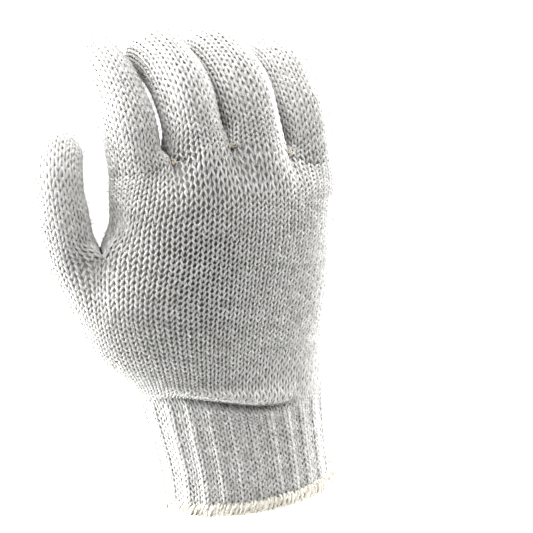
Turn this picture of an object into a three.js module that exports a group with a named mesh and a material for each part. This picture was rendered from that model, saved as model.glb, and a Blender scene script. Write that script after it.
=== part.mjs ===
// A knitted cotton work glove in its worn form, with curled fingers and an open wrist.
// Millimetres, +Z from the wrist to the fingers, -Y the back of the hand, -X the thumb's side.
// The origin is the centre of the wrist opening.
//
// The cloth is one tube. It starts at the wrist, and each digit takes its share of the tube: FACE strips
// on its back, FACE on its palm side, and SIDE more on each flank that looks at a neighbour.
import * as THREE from "three";

// Strips of the tube
const FACE = 5;
const SIDE = 3;
const RIBS = 26;
const RIB_STEPS = 3;

// Cuff and the overlocked edge that closes its raw end
const CUFF_HEIGHT = 51;
const CUFF_WIDTH = 77;
const CUFF_DEPTH = 58;
const RIB_RELIEF = 1.2;
const EDGE_HEIGHT = 5.6;
const EDGE_CLOTH = 1.5;

// Hand, from the cuff to the root of the middle finger
const HAND_HEIGHT = 106;
const HAND_WIDTH = 103;
const HAND_DEPTH = 44;

// Fold of the back's cloth over the cuff: its middle in x, half its length, the bulge above its crease, and
// the crease itself.
const FOLD_MIDDLE = -14;
const FOLD_SPAN = 30;
const FOLD_BULGE = 2.6;
const FOLD_HEIGHT = 9;
const FOLD_CREASE = 1.4;

// The join of hand and cuff sags with the fold and tilts towards the little finger: half the width of the
// sagging stretch, its drop, its tilt, and how far up and down the cloth follows it.
const SAG_SPAN = 48;
const SAG_DROP = 2.6;
const SAG_TILT = 13.4;
const SAG_REACH = 16;

// Digits, from the root to the tip
const FINGER_LENGTH = 82;
const FINGER_DEPTH = 25;
const THUMB_LENGTH = 53;
const THUMB_WIDTH = 23;
const THUMB_DEPTH = 25;

// Cloth
const WALL = 2.4;
const CLEARANCE = 0.3;
const RIM_SETBACK = 0.6 * CLEARANCE;

// Knots that close the tips
const KNOT_LENGTH = 5;
const KNOT_WIDTH = 3.6;

// Levels of the cuff. up is a share of CUFF_HEIGHT, x and width of CUFF_WIDTH, back and palm of CUFF_DEPTH.
const CUFF_LEVELS = [
  { up: 0.0, x: 0.0, width: 1.0, back: 0.5, palm: 0.5 },
  { up: 0.35, x: -0.012, width: 0.99, back: 0.49, palm: 0.49 },
  { up: 0.75, x: -0.038, width: 1.048, back: 0.48, palm: 0.49 },
  { up: 1.0, x: -0.054, width: 1.095, back: 0.49, palm: 0.5 },
];

// Levels of the hand below the thumb's root. up is a share of HAND_HEIGHT, x and width of HAND_WIDTH,
// back and palm of HAND_DEPTH. slant is how far the thumb's end of the level drops, in shares of the width.
const LOWER_LEVELS = [
  { up: 0.0, x: -0.04, width: 0.83, back: 0.645, palm: 0.66, slant: 0.0 },
  { up: 0.09, x: -0.07, width: 0.895, back: 0.625, palm: 0.655, slant: 0.01 },
  { up: 0.24, x: -0.117, width: 1.05, back: 0.63, palm: 0.65, slant: 0.02 },
  { up: 0.42, x: -0.139, width: 1.158, back: 0.63, palm: 0.66, slant: 0.03 },
];

// Levels of the hand above the thumb's root.
const UPPER_LEVELS = [
  { up: 0.62, x: -0.045, width: 0.99, back: 0.59, palm: 0.55, slant: 0.0 },
  { up: 0.71, x: -0.02, width: 0.98, back: 0.56, palm: 0.48, slant: -0.01 },
  { up: 0.79, x: -0.004, width: 0.998, back: 0.5, palm: 0.43, slant: -0.035 },
];

// Fingers. x, width are shares of HAND_WIDTH, y of HAND_DEPTH, up of HAND_HEIGHT, length of FINGER_LENGTH,
// depth of FINGER_DEPTH. lean is degrees to +X, bends the degrees towards the palm of its three bones, and
// turn swings its bending to +X.
const FINGERS = [
  {
    name: "index_finger", x: -0.372, width: 0.23, y: 0.06, up: 0.9,
    length: 0.77, depth: 0.97, lean: 1, turn: -5, bends: [12, 40, 68],
  },
  {
    name: "middle_finger", x: -0.133, width: 0.25, y: -0.1, up: 0.955,
    length: 0.965, depth: 1.02, lean: 0, turn: -2, bends: [18, 64, 112],
  },
  {
    name: "ring_finger", x: 0.126, width: 0.266, y: -0.06, up: 0.935,
    length: 0.95, depth: 1.02, lean: 0, turn: -2, bends: [20, 66, 112],
  },
  {
    name: "little_finger", x: 0.383, width: 0.226, y: 0.07, up: 0.815,
    length: 0.83, depth: 0.9, lean: 2, turn: -2, bends: [12, 44, 84],
  },
];

// Thumb. x is a share of HAND_WIDTH, y of HAND_DEPTH, up of HAND_HEIGHT. turn swings its bending to +X.
const THUMB = { name: "thumb", x: -0.67, y: 0.14, up: 0.61, lean: -8, turn: 36, bends: [0, 14, 70] };

// Where a digit's two knuckles are and how far each bend reaches, as shares of its length.
const KNUCKLES = [0.33, 0.65];
const BEND_REACH = 0.18;

// A digit's girth along its length, as a share of its girth at the root.
const GIRTHS = [
  { along: 0.0, girth: 1.0 },
  { along: 0.15, girth: 0.985 },
  { along: 0.33, girth: 1.0 },
  { along: 0.5, girth: 0.955 },
  { along: 0.65, girth: 0.96 },
  { along: 0.82, girth: 0.9 },
  { along: 1.0, girth: 0.8 },
];
const TIP_CAP = 0.14;
const ROOT_BLEND = 0.16;

// Rows of strips along a digit, as shares of its length, closer where it bends and closes.
const DIGIT_ROWS = [0, 0.07, 0.16, 0.25, 0.34, 0.43, 0.52, 0.61, 0.7, 0.8, 0.87, 0.93, 0.975, 1];

const degrees = (angle) => (angle * Math.PI) / 180;
const ease = (t) => {
  const share = Math.min(Math.max(t, 0), 1);
  return share * share * (3 - 2 * share);
};
const point = (x, y, z) => new THREE.Vector3(x, y, z);

// The value of a table's column between two of its rows, as a smooth curve through them all.
function read(table, key, column, at) {
  const last = table.length - 1;
  let i = 0;
  while (i < last - 1 && at > table[i + 1][key]) i += 1;
  const slope = (k) => {
    const a = table[Math.max(k - 1, 0)];
    const b = table[Math.min(k + 1, last)];
    return (b[column] - a[column]) / (b[key] - a[key]);
  };
  const step = table[i + 1][key] - table[i][key];
  const t = (at - table[i][key]) / step;
  const from = table[i][column] * (1 + 2 * t) * (1 - t) * (1 - t) + slope(i) * step * t * (1 - t) * (1 - t);
  const to = table[i + 1][column] * t * t * (3 - 2 * t) - slope(i + 1) * step * t * t * (1 - t);
  return from + to;
}

// A closed oval, as points at even steps along it. Half of the side strips lie on each side of its ends,
// so the first point is where the back begins on the thumb's side, and the points run over the back.
function oval(level, strips, sideStrips) {
  const fine = 720;
  const outline = [];
  const lengths = [0];
  for (let i = 0; i <= fine; i += 1) {
    const angle = Math.PI - (2 * Math.PI * i) / fine;
    const across = Math.cos(angle);
    const out = Math.sin(angle);
    const bulge = Math.sign(out) * Math.abs(out) ** 0.88;
    const x = level.x + (level.width / 2) * across;
    const y = level.y - bulge * (out > 0 ? level.back : level.palm);
    outline.push(point(x, y, level.z + level.slant * across));
    if (i > 0) lengths.push(lengths[i - 1] + outline[i].distanceTo(outline[i - 1]));
  }
  const ring = [];
  let k = 0;
  for (let j = 0; j < strips; j += 1) {
    const want = (lengths[fine] * (j + sideStrips / 2)) / strips;
    while (k < fine - 1 && lengths[k + 1] < want) k += 1;
    const t = (want - lengths[k]) / (lengths[k + 1] - lengths[k]);
    ring.push(outline[k].clone().lerp(outline[k + 1], t));
  }
  return ring;
}

// One level of the cuff in millimetres.
function cuffLevel(up) {
  return {
    x: read(CUFF_LEVELS, "up", "x", up) * CUFF_WIDTH,
    y: 0,
    z: up * CUFF_HEIGHT,
    width: read(CUFF_LEVELS, "up", "width", up) * CUFF_WIDTH,
    back: read(CUFF_LEVELS, "up", "back", up) * CUFF_DEPTH,
    palm: read(CUFF_LEVELS, "up", "palm", up) * CUFF_DEPTH,
    slant: 0,
  };
}

// One level of the hand in millimetres.
function handLevel(row) {
  return {
    x: row.x * HAND_WIDTH,
    y: 0,
    z: CUFF_HEIGHT + row.up * HAND_HEIGHT,
    width: row.width * HAND_WIDTH,
    back: row.back * HAND_DEPTH,
    palm: row.palm * HAND_DEPTH,
    slant: row.slant * HAND_WIDTH,
  };
}

// A digit's centre line and the directions across it, walked bone by bone from its root.
function walkDigit(spec) {
  const rise = point(Math.sin(degrees(spec.lean)), 0, Math.cos(degrees(spec.lean)));
  const fold = point(Math.sin(degrees(spec.turn)), Math.cos(degrees(spec.turn)), 0);
  fold.addScaledVector(rise, -fold.dot(rise)).normalize();
  const side = fold.clone().cross(rise);
  const steps = 200;
  const walk = [];
  const centre = spec.root.clone();
  for (let i = 0; i <= steps; i += 1) {
    const along = i / steps;
    const first = ease((along - KNUCKLES[0] + BEND_REACH) / (2 * BEND_REACH));
    const second = ease((along - KNUCKLES[1] + BEND_REACH) / (2 * BEND_REACH));
    const [root, middle, end] = spec.bends;
    const bend = degrees(root + (middle - root) * first + (end - middle) * second);
    const ahead = rise.clone().multiplyScalar(Math.cos(bend)).addScaledVector(fold, Math.sin(bend));
    const back = rise.clone().multiplyScalar(Math.sin(bend)).addScaledVector(fold, -Math.cos(bend));
    walk.push({ centre: centre.clone(), back, side });
    centre.addScaledVector(ahead, spec.length / steps);
  }
  return walk;
}

// A point of a digit's own surface. strip counts from the thumb's side of its back, over the back.
function onDigit(digit, along, strip) {
  const steps = digit.walk.length - 1;
  const place = Math.min(along * steps, steps - 1e-9);
  const i = Math.floor(place);
  const here = digit.walk[i];
  const next = digit.walk[i + 1];
  const centre = here.centre.clone().lerp(next.centre, place - i);
  const back = here.back.clone().lerp(next.back, place - i).normalize();
  const total = 2 * FACE + 2 * SIDE;
  const angle = Math.PI / 2 + ((FACE / 2 - strip) * 2 * Math.PI) / total;
  const closing = Math.max(along - 1 + TIP_CAP, 0) / TIP_CAP;
  const girth = read(GIRTHS, "along", "girth", along) * Math.sqrt(Math.max(1 - closing ** 2.4, 0));
  centre.addScaledVector(here.side, (Math.cos(angle) * girth * digit.width) / 2);
  return centre.addScaledVector(back, (Math.sin(angle) * girth * digit.depth) / 2);
}

function makeDigit(spec) {
  const digit = { ...spec, walk: walkDigit(spec), ring: [] };
  for (let j = 0; j < 2 * FACE + 2 * SIDE; j += 1) digit.ring.push(onDigit(digit, 0, j));
  return digit;
}

// Moves a run of points so that its ends land on two given points and the rest follow.
function pull(points, first, last) {
  const shiftFirst = first.clone().sub(points[0]);
  const shiftLast = last.clone().sub(points[points.length - 1]);
  return points.map((p, i) => {
    const t = i / (points.length - 1);
    const moved = p.clone().addScaledVector(shiftFirst, (1 - ease(2 * t)) * (1 - t));
    return moved.addScaledVector(shiftLast, ease(2 * t - 1) * t);
  });
}

const fingers = FINGERS.map((f) =>
  makeDigit({
    ...f,
    length: f.length * FINGER_LENGTH,
    width: f.width * HAND_WIDTH - CLEARANCE,
    depth: f.depth * FINGER_DEPTH,
    root: point(f.x * HAND_WIDTH, f.y * HAND_DEPTH, CUFF_HEIGHT + f.up * HAND_HEIGHT),
  }),
);
const thumb = makeDigit({
  ...THUMB,
  length: THUMB_LENGTH,
  width: THUMB_WIDTH,
  depth: THUMB_DEPTH,
  root: point(THUMB.x * HAND_WIDTH, THUMB.y * HAND_DEPTH, CUFF_HEIGHT + THUMB.up * HAND_HEIGHT),
});

const half = (a, b) => a.clone().lerp(b, 0.5);
const total = 2 * FACE + 2 * SIDE;

// The crotch between two neighbours: one shared curve from the back to the palm.
function crotch(rightSide, leftSide) {
  return rightSide.map((p, i) => half(p, leftSide[leftSide.length - 1 - i]));
}

const rightSideOf = (ring) => ring.slice(FACE, FACE + SIDE + 1);
const leftSideOf = (ring) => [...ring.slice(2 * FACE + SIDE), ring[0]];

// Each finger's root ring, with its flanks on the crotches that it shares.
const crotches = [];
for (let k = 0; k < fingers.length - 1; k += 1) {
  crotches.push(crotch(rightSideOf(fingers[k].ring), leftSideOf(fingers[k + 1].ring)));
}
function rootRing(ring, left, right) {
  const rightSide = right ?? rightSideOf(ring);
  const leftSide = left ?? leftSideOf(ring);
  const back = pull(ring.slice(0, FACE + 1), leftSide[SIDE], rightSide[0]);
  const palm = pull(ring.slice(FACE + SIDE, 2 * FACE + SIDE + 1), rightSide[SIDE], leftSide[0]);
  return [
    ...back.slice(0, FACE),
    ...rightSide.slice(0, SIDE),
    ...palm.slice(0, FACE),
    ...leftSide.slice(0, SIDE),
  ];
}
fingers.forEach((finger, k) => {
  const left = k > 0 ? [...crotches[k - 1]].reverse() : null;
  finger.root = rootRing(finger.ring, left, crotches[k] ?? null);
});

// The hand's upper tube ends on the fingers' roots, and starts on the thumb's crotch.
const upperStrips = 2 * FACE * fingers.length + 2 * SIDE;
const lowerStrips = upperStrips + 2 * FACE;
const split = oval(handLevel(UPPER_LEVELS[0]), upperStrips, SIDE);
const splitLeft = [...split.slice(upperStrips - SIDE), split[0]];
const thumbCrotch = crotch(rightSideOf(thumb.ring), splitLeft);
thumb.root = rootRing(thumb.ring, null, thumbCrotch);
const splitFace = FACE * fingers.length;
const splitBack = pull(split.slice(0, splitFace + 1), thumbCrotch[0], split[splitFace]);
const splitRight = split.slice(splitFace, splitFace + SIDE + 1);
const splitPalmRun = split.slice(splitFace + SIDE, 2 * splitFace + SIDE + 1);
const splitPalm = pull(splitPalmRun, splitRight[SIDE], thumbCrotch[SIDE]);
const upperStart = [
  ...splitBack.slice(0, splitFace),
  ...splitRight.slice(0, SIDE),
  ...splitPalm.slice(0, splitFace),
  ...[...thumbCrotch].reverse().slice(0, SIDE),
];
const lowerEnd = [
  ...thumb.root.slice(0, FACE),
  ...splitBack.slice(0, splitFace),
  ...splitRight.slice(0, SIDE),
  ...splitPalm.slice(0, splitFace),
  ...thumb.root.slice(FACE + SIDE),
];
const upperEnd = [
  ...fingers.flatMap((f) => f.root.slice(0, FACE)),
  ...fingers[3].root.slice(FACE, FACE + SIDE),
  ...[...fingers].reverse().flatMap((f) => f.root.slice(FACE + SIDE, 2 * FACE + SIDE)),
  ...fingers[0].root.slice(2 * FACE + SIDE),
];

// Rows between given rings, each strip's line a smooth curve through them.
function loft(rings, rows) {
  const curve = (_, j) => new THREE.CatmullRomCurve3(rings.map((ring) => ring[j]), false, "centripetal");
  const curves = rings[0].map(curve);
  const made = [];
  for (let i = 0; i <= rows; i += 1) made.push(curves.map((line) => line.getPoint(i / rows)));
  return made;
}

// Sags the back's cloth along the join of hand and cuff, with a crease there and a bulge above it.
function fold(p) {
  const onBack = ease((-2 * p.y) / HAND_DEPTH);
  const up = p.z - CUFF_HEIGHT;
  const crease = 1 - ease(Math.abs(up) / (SAG_REACH / 4));
  const bulge = up > 0 && up < FOLD_HEIGHT ? Math.sin(Math.PI * (up / FOLD_HEIGHT) ** 0.7) : 0;
  const within = Math.max(1 - ((p.x - FOLD_MIDDLE) / FOLD_SPAN) ** 2, 0) * onBack;
  const across = (p.x - FOLD_MIDDLE) / SAG_SPAN;
  const follow = Math.max(1 - across * across, 0) * onBack * (1 - ease(Math.abs(up) / SAG_REACH));
  p.y += (FOLD_CREASE * crease - FOLD_BULGE * bulge) * within;
  p.z -= (SAG_TILT * across + SAG_DROP) * follow;
  return p;
}

const ringsAt = (levels, strips) => levels.map((row) => oval(handLevel(row), strips, SIDE));
const lowerRings = [...ringsAt(LOWER_LEVELS, lowerStrips), lowerEnd];
const upperRings = [upperStart, ...ringsAt(UPPER_LEVELS.slice(1), upperStrips), upperEnd];
const lowerRows = loft(lowerRings, 9);
const upperRows = loft(upperRings, 7);
lowerRows.forEach((row) => row.forEach(fold));

// Cloth: outer points shared by key, four-sided patches, and the piece that each patch belongs to.
const cloth = { points: [], keys: new Map(), patches: [] };
function keep(p) {
  const key = [p.x, p.y, p.z].map((v) => Math.round(v * 1000)).join(",");
  if (!cloth.keys.has(key)) {
    cloth.keys.set(key, cloth.points.length);
    cloth.points.push(p.clone());
  }
  return cloth.keys.get(key);
}
function weave(rows, piece) {
  for (let i = 0; i + 1 < rows.length; i += 1) {
    const count = rows[i].length;
    for (let j = 0; j < count; j += 1) {
      const next = (j + 1) % count;
      const patch = [rows[i][j], rows[i][next], rows[i + 1][next], rows[i + 1][j]].map(keep);
      cloth.patches.push({ piece, patch: patch.filter((v, n) => patch.indexOf(v) === n) });
    }
  }
}
weave(lowerRows, "hand");
weave(upperRows, "hand");
for (const digit of [...fingers, thumb]) {
  const shift = digit.root.map((p, j) => p.clone().sub(digit.ring[j]));
  const rows = DIGIT_ROWS.map((along) =>
    shift.map((s, j) => onDigit(digit, along, j).addScaledVector(s, 1 - ease(along / ROOT_BLEND))),
  );
  weave(rows, digit.name);
}

// Outward direction at every point of the cloth.
const outward = cloth.points.map(() => point(0, 0, 0));
for (const { patch } of cloth.patches) {
  const [a, b, c] = patch.map((v) => cloth.points[v]);
  const d = cloth.points[patch[3] ?? patch[2]];
  const facing = c.clone().sub(a).cross(d.clone().sub(b));
  if (patch.length === 3) facing.copy(b.clone().sub(a).cross(c.clone().sub(a)));
  patch.forEach((v) => outward[v].addScaledVector(facing, 1));
}
outward.forEach((n) => n.normalize());

// Along a crotch the wall hangs straight down between its two flanks, and turns into the hand at both ends.
for (const line of [...crotches, thumbCrotch]) {
  line.forEach((p, n) => {
    const atEnd = n === 0 || n === line.length - 1;
    outward[keep(p)].multiplyScalar(atEnd ? 1 : 0).add(point(0, 0, 1)).normalize();
  });
}

// A shell of one piece: its outer points, its inner points one wall below them, and a rim between, set back
// from the neighbours' rims.
function shell(piece) {
  const patches = cloth.patches.filter((p) => p.piece === piece).map((p) => p.patch);
  const edges = new Set();
  const sides = (patch) => patch.map((v, n) => [v, patch[(n + 1) % patch.length]]);
  patches.forEach((patch) => sides(patch).forEach(([a, b]) => edges.add(a + "," + b)));
  const rim = [];
  patches.forEach((patch) => sides(patch).forEach(([a, b]) => edges.has(b + "," + a) || rim.push([a, b])));
  const after = new Map(rim);
  const before = new Map(rim.map(([a, b]) => [b, a]));
  const number = new Map();
  const outer = [];
  const inner = [];
  for (const v of new Set(patches.flat())) {
    const p = cloth.points[v].clone();
    if (after.has(v)) {
      const along = cloth.points[after.get(v)].clone().sub(cloth.points[before.get(v)]);
      p.addScaledVector(outward[v].clone().cross(along).normalize(), RIM_SETBACK);
    }
    number.set(v, outer.length);
    outer.push(p);
    inner.push(p.clone().addScaledVector(outward[v], -WALL));
  }
  const faces = [];
  const fan = (corners) => {
    for (let n = 1; n + 1 < corners.length; n += 1) faces.push([corners[0], corners[n], corners[n + 1]]);
  };
  patches.forEach((patch) => {
    const out = patch.map((v) => number.get(v));
    fan(out);
    fan(out.map((v) => v + outer.length).reverse());
  });
  rim.forEach(([a, b]) => {
    const [m, n] = [number.get(a), number.get(b)];
    if (a < b) fan([m, m + outer.length, n + outer.length, n]);
    else fan([n, m, m + outer.length, n + outer.length]);
  });
  return solid([...outer, ...inner], faces);
}

function solid(points, faces) {
  const geometry = new THREE.BufferGeometry();
  const places = points.flatMap((p) => [p.x, p.y, p.z]);
  geometry.setAttribute("position", new THREE.Float32BufferAttribute(places, 3));
  geometry.setIndex(faces.flat());
  geometry.computeVertexNormals();
  return geometry;
}

// A closed band around a ring: profile points (out from the cloth, up) at every step of the ring.
function band(ringAt, profile, steps) {
  const points = [];
  const faces = [];
  const count = profile.length;
  for (let i = 0; i < steps; i += 1) {
    profile.forEach(([out, up]) => points.push(ringAt(i, out, up)));
    for (let n = 0; n < count; n += 1) {
      const a = i * count + n;
      const b = i * count + ((n + 1) % count);
      const c = ((i + 1) % steps) * count + ((n + 1) % count);
      const d = ((i + 1) % steps) * count + n;
      faces.push([a, d, b], [b, d, c]);
    }
  }
  return solid(points, faces);
}

// The cuff, ribbed up and down: three steps to a rib, the first raised.
const cuffSteps = RIBS * RIB_STEPS;
const ringCache = new Map();
function cuffAt(i, out, z) {
  const key = z.toFixed(4);
  if (!ringCache.has(key)) {
    const ring = oval(cuffLevel(z / CUFF_HEIGHT), cuffSteps, 0);
    ringCache.set(key, ring);
  }
  const ring = ringCache.get(key);
  const before = ring[(i + cuffSteps - 1) % cuffSteps];
  const after = ring[(i + 1) % cuffSteps];
  const normal = point(after.y - before.y, before.x - after.x, 0).normalize();
  return fold(ring[i].clone().setZ(z)).addScaledVector(normal, out);
}
function makeCuff() {
  const bottom = EDGE_CLOTH + CLEARANCE;
  const top = CUFF_HEIGHT - CLEARANCE;
  const rows = 4;
  const raised = (i, z) => {
    const settle = ease((z - EDGE_HEIGHT) / EDGE_HEIGHT) * ease((CUFF_HEIGHT - z) / EDGE_HEIGHT);
    return i % RIB_STEPS === 0 ? 0 : -RIB_RELIEF * settle;
  };
  const heights = [];
  for (let n = 0; n <= rows; n += 1) heights.push(bottom + ((top - bottom) * n) / rows);
  heights.splice(1, 0, EDGE_HEIGHT);
  const profile = [...heights.map((z) => ["outer", z]), ...[...heights].reverse().map((z) => ["inner", z])];
  const at = (i, face, z) => cuffAt(i, (face === "outer" ? 0 : -WALL) + raised(i, z), z);
  return band(at, profile, cuffSteps);
}
function makeEdge() {
  const gap = CLEARANCE;
  const out = EDGE_CLOTH + gap;
  const inn = -WALL - gap;
  const profile = [
    [out, EDGE_CLOTH / 2],
    [out, EDGE_HEIGHT - EDGE_CLOTH / 2],
    [gap, EDGE_HEIGHT],
    [gap, EDGE_CLOTH],
    [inn, EDGE_CLOTH],
    [inn, EDGE_HEIGHT],
    [inn - EDGE_CLOTH, EDGE_HEIGHT - EDGE_CLOTH / 2],
    [inn - EDGE_CLOTH, EDGE_CLOTH / 2],
    [inn - EDGE_CLOTH / 2, 0],
    [out - EDGE_CLOTH / 2, 0],
  ];
  return band((i, o, z) => cuffAt(i, o, z), profile, cuffSteps);
}

// Knots at the tips: a short ball, drawn out along the digit.
function knot(digit) {
  const end = digit.walk[digit.walk.length - 1];
  const before = digit.walk[digit.walk.length - 8];
  const ahead = end.centre.clone().sub(before.centre).normalize();
  const geometry = new THREE.SphereGeometry(KNOT_WIDTH / 2, 8, 6);
  const mesh = new THREE.Mesh(geometry);
  mesh.scale.set(1, KNOT_LENGTH / KNOT_WIDTH, 0.8);
  mesh.quaternion.setFromUnitVectors(point(0, 1, 0), ahead);
  mesh.position.copy(end.centre).addScaledVector(ahead, KNOT_LENGTH / 2 + CLEARANCE);
  return mesh;
}

const yarn = (color, roughness) => new THREE.MeshStandardMaterial({ color, roughness, metalness: 0 });
const group = new THREE.Group();
group.name = "cotton_work_glove";
function add(name, geometry, material) {
  const mesh = new THREE.Mesh(geometry, material);
  mesh.name = name;
  group.add(mesh);
}
add("cuff_edge", makeEdge(), yarn(0xd9d2bd, 0.95));
add("rib_cuff", makeCuff(), yarn(0xdcdcda, 0.95));
for (const name of ["hand", "thumb", ...fingers.map((f) => f.name)]) {
  add(name, shell(name), yarn(0xdedede, 0.95));
}
for (const digit of [thumb, ...fingers]) {
  const mesh = knot(digit);
  mesh.name = digit.name + "_knot";
  mesh.material = yarn(0xa79f92, 0.95);
  group.add(mesh);
}

export default group;
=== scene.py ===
import math

import bpy
import numpy as np
from mathutils import Matrix, Vector


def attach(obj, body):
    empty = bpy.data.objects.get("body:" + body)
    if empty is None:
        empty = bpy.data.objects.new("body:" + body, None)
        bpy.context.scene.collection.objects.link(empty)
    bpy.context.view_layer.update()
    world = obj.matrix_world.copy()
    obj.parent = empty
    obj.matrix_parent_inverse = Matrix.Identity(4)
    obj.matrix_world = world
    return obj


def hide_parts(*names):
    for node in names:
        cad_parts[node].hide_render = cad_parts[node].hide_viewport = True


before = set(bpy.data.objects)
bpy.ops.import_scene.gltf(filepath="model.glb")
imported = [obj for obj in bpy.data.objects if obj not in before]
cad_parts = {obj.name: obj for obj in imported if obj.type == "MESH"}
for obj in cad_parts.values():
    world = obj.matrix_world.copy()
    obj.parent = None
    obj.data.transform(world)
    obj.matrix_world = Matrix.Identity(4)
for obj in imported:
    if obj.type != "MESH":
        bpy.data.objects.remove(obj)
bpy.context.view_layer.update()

rng = np.random.default_rng(20)
MM = 0.001

# Columns of stitches (wales): on a digit's back or palm side, and on each flank
FACE = 7
SIDE = 4
AROUND = 2 * (FACE + SIDE)
UPPER = 2 * FACE * 4 + 2 * SIDE
LOWER = UPPER + 2 * FACE
COURSE = 2.5

# Sizes in mm, as the frame's solids have them
CUFF_HEIGHT, CUFF_WIDTH, CUFF_DEPTH = 51.0, 77.0, 58.0
HAND_HEIGHT, HAND_WIDTH, HAND_DEPTH = 106.0, 103.0, 44.0
FINGER_LENGTH, FINGER_DEPTH = 82.0, 25.0
THUMB_LENGTH, THUMB_WIDTH, THUMB_DEPTH = 53.0, 23.0, 25.0
WALL = 2.4
GAP = 0.3

# The fold over the cuff: where it is, how far it stands out, and how the cloth round it hangs
FOLD_MIDDLE, FOLD_SPAN, FOLD_BULGE, FOLD_CREASE = -14.0, 30.0, 3.0, 3.3
FOLD_UP, FOLD_TALL, CREASE_TALL = 4.0, 2.0, 1.8
FOLD_FADE = 0.7
SAG_SPAN, SAG_DROP, SAG_TILT, SAG_REACH = 48.0, 2.6, 13.4, 16.0

# How round an oval and a digit's tip are, as powers, and the steps that they are worked out in
OVAL_POWER = 0.88
OVAL_STEPS = 1440
TIP_POWER = 2.4
BONE_STEPS = 200

CUFF_LEVELS = dict(
    up=[0.0, 0.35, 0.75, 1.0],
    x=[0.0, -0.012, -0.038, -0.054],
    width=[1.0, 0.99, 1.048, 1.095],
    back=[0.5, 0.49, 0.48, 0.49],
    palm=[0.5, 0.49, 0.49, 0.5],
)
WRIST_TURN = 8 / 78
LOWER_LEVELS = [
    dict(up=0.0, x=-0.04, width=0.83, back=0.645, palm=0.66, slant=0.0),
    dict(up=0.09, x=-0.07, width=0.895, back=0.625, palm=0.655, slant=0.01),
    dict(up=0.24, x=-0.117, width=1.05, back=0.63, palm=0.65, slant=0.02),
    dict(up=0.42, x=-0.139, width=1.158, back=0.63, palm=0.66, slant=0.03),
]
UPPER_LEVELS = [
    dict(up=0.62, x=-0.045, width=0.99, back=0.59, palm=0.55, slant=0.0),
    dict(up=0.71, x=-0.02, width=0.98, back=0.56, palm=0.48, slant=-0.01),
    dict(up=0.79, x=-0.004, width=0.998, back=0.5, palm=0.43, slant=-0.035),
]

# How the columns run: turned round towards the thumb, in shares of the way round, and drawn in beside the
# thumb, in columns, most at the peak column from the thumb's side and not at all beyond the reach.
DRAWN_PEAK = 5
DRAWN_REACH = 11
RUNS = dict(
    up=[0.0, 0.09, 0.24, 0.42, 0.62, 0.71, 0.79],
    turn=[WRIST_TURN, 0.0775, 0.0485, 0.0285, 0.0, 0.0, 0.0],
    drawn=[0.0, 0.6, 1.0, 1.9, 0.0, 1.2, 0.8],
)
FINGERS = [
    dict(name="index_finger", x=-0.372, width=0.23, y=0.06, up=0.9, length=0.77, depth=0.97),
    dict(name="middle_finger", x=-0.133, width=0.25, y=-0.1, up=0.955, length=0.965, depth=1.02),
    dict(name="ring_finger", x=0.126, width=0.266, y=-0.06, up=0.935, length=0.95, depth=1.02),
    dict(name="little_finger", x=0.383, width=0.226, y=0.07, up=0.815, length=0.83, depth=0.9),
]
THUMB = dict(name="thumb", x=-0.67, y=0.14, up=0.61)

# How each digit leans to +X, how far its bending is turned to +X, and its three bones' bends, in degrees
POSES = dict(
    thumb=dict(lean=-8, turn=36, bends=(0, 14, 70)),
    index_finger=dict(lean=1, turn=-5, bends=(12, 40, 68)),
    middle_finger=dict(lean=0, turn=-2, bends=(18, 64, 112)),
    ring_finger=dict(lean=0, turn=-2, bends=(20, 66, 112)),
    little_finger=dict(lean=2, turn=-2, bends=(12, 44, 84)),
)
KNUCKLES = (0.33, 0.65)
BEND_REACH = 0.18
GIRTHS = dict(along=[0.0, 0.15, 0.33, 0.5, 0.65, 0.82, 1.0], girth=[1.0, 0.985, 1.0, 0.955, 0.96, 0.9, 0.8])
TIP_CAP = 0.14
ROOT_BLEND = 0.16


def ease(t):
    t = np.clip(t, 0, 1)
    return t * t * (3 - 2 * t)


def unit(v):
    return v / np.maximum(np.linalg.norm(v, axis=-1, keepdims=True), 1e-9)


def read(table, key, column, at):
    """A table's column between its rows, as a smooth curve through them."""
    xs, ys = np.array(table[key], float), np.array(table[column], float)
    at = np.asarray(at, float)
    i = np.clip(np.searchsorted(xs, at, side="left") - 1, 0, len(xs) - 2)
    lo, hi = np.maximum(np.arange(len(xs)) - 1, 0), np.minimum(np.arange(len(xs)) + 1, len(xs) - 1)
    slope = (ys[hi] - ys[lo]) / (xs[hi] - xs[lo])
    step = xs[i + 1] - xs[i]
    t = (at - xs[i]) / step
    start = ys[i] * (1 + 2 * t) * (1 - t) ** 2 + slope[i] * step * t * (1 - t) ** 2
    return start + ys[i + 1] * t * t * (3 - 2 * t) - slope[i + 1] * step * t * t * (1 - t)


def oval(level, count, side):
    """A closed oval of columns, over the back first, starting where the back begins on the thumb's side."""
    angle = math.pi - 2 * math.pi * np.arange(OVAL_STEPS + 1) / OVAL_STEPS
    across, out = np.cos(angle), np.sin(angle)
    bulge = np.sign(out) * np.abs(out) ** OVAL_POWER
    x = level["x"] + level["width"] / 2 * across
    y = -bulge * np.where(out > 0, level["back"], level["palm"])
    line = np.stack([x, y, level["z"] + level["slant"] * across], 1)
    length = np.concatenate([[0], np.cumsum(np.linalg.norm(np.diff(line, axis=0), axis=1))])
    column = np.arange(count) + side / 2
    thumbward = np.minimum(column, count - column)
    peak = DRAWN_PEAK + (count - UPPER) / 2
    off = (thumbward - peak) / np.where(thumbward < peak, peak, DRAWN_REACH)
    drawn = level["drawn"] * np.cos(math.pi / 2 * np.clip(off, -1, 1)) ** 2
    column = column - np.where(column < count / 2, 1, -1) * drawn
    want = length[-1] * ((column / count - level["turn"]) % 1)
    return np.stack([np.interp(want, length, line[:, k]) for k in range(3)], 1)


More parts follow.
